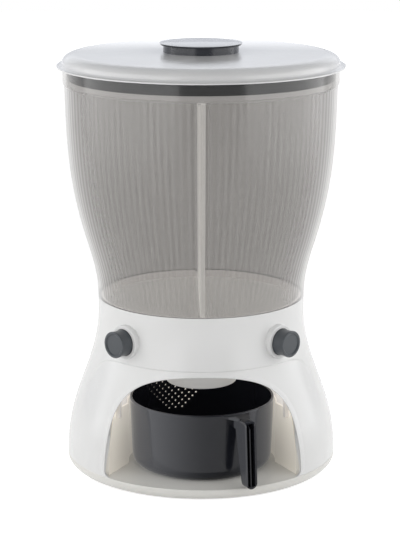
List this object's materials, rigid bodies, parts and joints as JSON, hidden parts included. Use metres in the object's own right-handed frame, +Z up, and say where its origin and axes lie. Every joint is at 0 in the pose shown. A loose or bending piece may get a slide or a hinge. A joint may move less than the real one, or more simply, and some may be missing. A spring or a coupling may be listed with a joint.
{
  "type": "rice dispenser",
  "caption": "Free-standing dry-food dispenser: flared clear bin split by a divider, white base with an arched bay, push buttons that open gates, and a bowl with a handle that draws out.",
  "frame": {"origin": "on the surface the dispenser stands on, under the centre of the bin", "axes": "+Z up, the arch, buttons and bowl face -Y, +X to the right seen from the front"},
  "size_m": [0.302, 0.302, 0.454],
  "materials": {
    "white_plastic": "smooth semi-gloss moulded white",
    "inner_plastic": "satin moulded off-white",
    "smoke_clear_plastic": "clear smoky moulded, polished",
    "dark_plastic": "glossy moulded charcoal",
    "seal_rubber": "smooth dark silicone",
    "rubber": "matt grey rubber",
    "steel": "plain zinc-plated steel"
  },
  "bodies": {
    "base": {"base_tray": "white_plastic", "rubber_pads": "rubber", "base_shell": "white_plastic", "base_screws": "steel", "bay_liner": "inner_plastic", "bay_hood": "inner_plastic", "chute": "inner_plastic", "gate_carrier": "inner_plastic", "hopper": "white_plastic", "bin": "smoke_clear_plastic", "divider": "inner_plastic", "button_bezel_left": "white_plastic", "button_bezel_right": "white_plastic", "return_spring_left": "steel", "return_spring_right": "steel"},
    "lid": {"lid": "white_plastic", "lid_seal": "seal_rubber", "lid_knob": "dark_plastic", "knob_screws": "steel"},
    "bowl": {"bowl": "dark_plastic"},
    "button_left": {"button_left": "dark_plastic", "gate_slide_left": "inner_plastic"},
    "button_right": {"button_right": "dark_plastic", "gate_slide_right": "inner_plastic"}
  },
  "joints": [
    {"name": "lid_lift", "type": "slide", "parent": "base", "child": "lid", "axis": [0, 0, 1], "range_m": [0, 0.12]},
    {"name": "bowl_draw", "type": "slide", "parent": "base", "child": "bowl", "axis": [0, -1, 0], "range_m": [0, 0.16]},
    {"name": "button_left_press", "type": "slide", "parent": "base", "child": "button_left", "axis": [0.7071, 0.7071, 0], "range_m": [0, 0.012], "stiffness_N_per_m": 400, "springref_m": -0.004, "deforming": ["return_spring_left"]},
    {"name": "button_right_press", "type": "slide", "parent": "base", "child": "button_right", "axis": [-0.7071, 0.7071, 0], "range_m": [0, 0.012], "stiffness_N_per_m": 400, "springref_m": -0.004, "deforming": ["return_spring_right"]}
  ]
}
